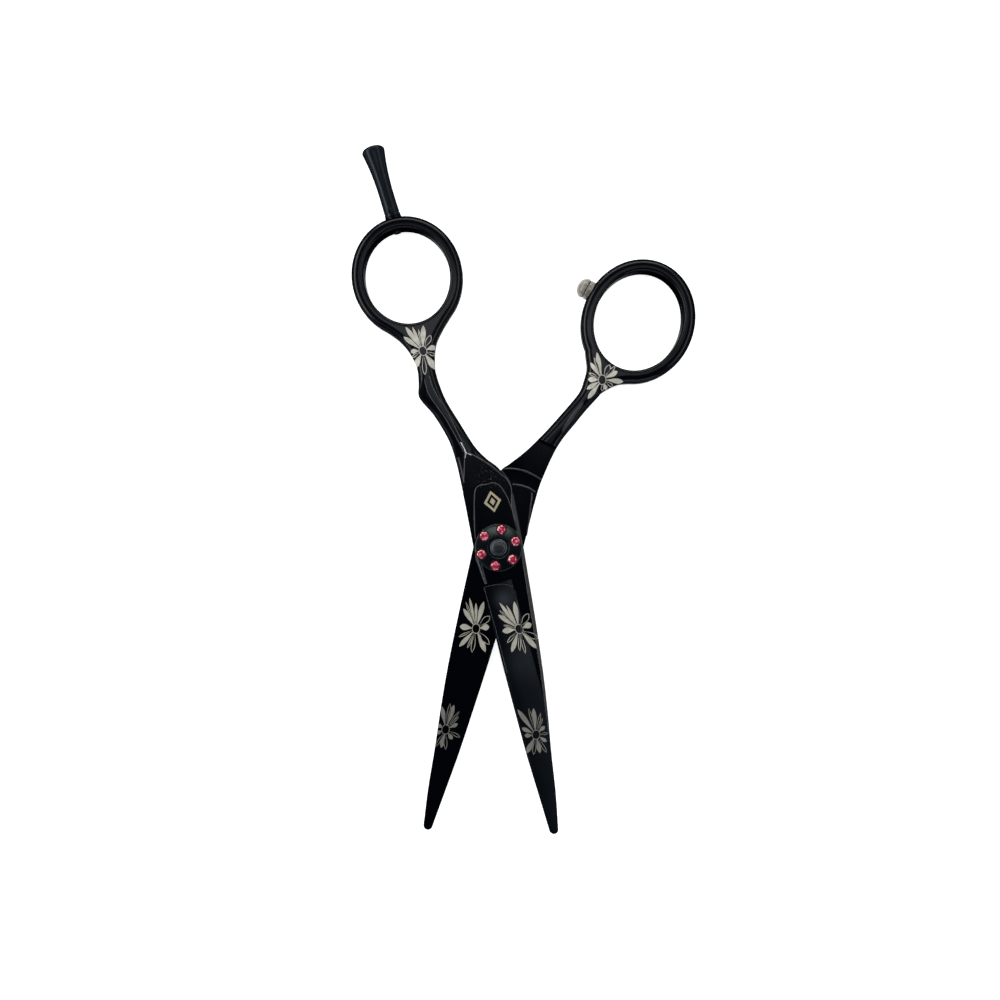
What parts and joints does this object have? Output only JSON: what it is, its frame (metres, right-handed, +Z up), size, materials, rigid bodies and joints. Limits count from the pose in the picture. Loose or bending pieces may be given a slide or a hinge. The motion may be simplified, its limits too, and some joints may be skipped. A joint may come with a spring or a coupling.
{
  "type": "hair cutting shears",
  "caption": "Hairdressing shears with offset rings, flower-patterned black coating, a tension dial set with pink crystals, a finger rest and a soft bumper.",
  "frame": {"origin": "on the pivot axis, at the flat underside of the bolt head, which lies in one plane with the undersides of both halves", "axes": "+Y towards the rings, -Y towards the blade tips, +Z up along the pivot axis through the tension dial"},
  "size_m": [0.0824, 0.1651, 0.0077],
  "materials": {
    "black_coating": "gloss",
    "dial_satin": "satin",
    "rest_satin": "satin",
    "steel": "satin",
    "bronze": "satin",
    "slip_plastic": "matte",
    "pink_crystal": "gloss",
    "soft_grey": "satin"
  },
  "bodies": {
    "finger_half": {"finger_blade": "black_coating", "pivot_bolt": "steel", "click_spring": "steel", "index_plate": "steel", "dial_screw": "black_coating", "finger_rest": "rest_satin", "rest_washer": "rest_satin"},
    "thumb_half": {"thumb_blade": "black_coating", "pivot_bush": "bronze", "slip_washer": "slip_plastic", "ride_washer": "slip_plastic", "bumper_seat": "steel", "bumper_cap": "soft_grey"},
    "dial": {"tension_dial": "dial_satin", "crystal_1": "pink_crystal", "crystal_2": "pink_crystal", "crystal_3": "pink_crystal", "crystal_4": "pink_crystal", "crystal_5": "pink_crystal", "crystal_6": "pink_crystal"}
  },
  "joints": [
    {"name": "blade_pivot", "type": "hinge", "parent": "finger_half", "child": "thumb_half", "pos_m": [0, 0, 0.0027], "axis": [0, 0, 1], "range_deg": [-65, 24.3]},
    {"name": "dial_turn", "type": "hinge", "parent": "finger_half", "child": "dial", "pos_m": [0, 0, 0.0065], "axis": [0, 0, 1], "range_deg": [-60, 60]}
  ]
}
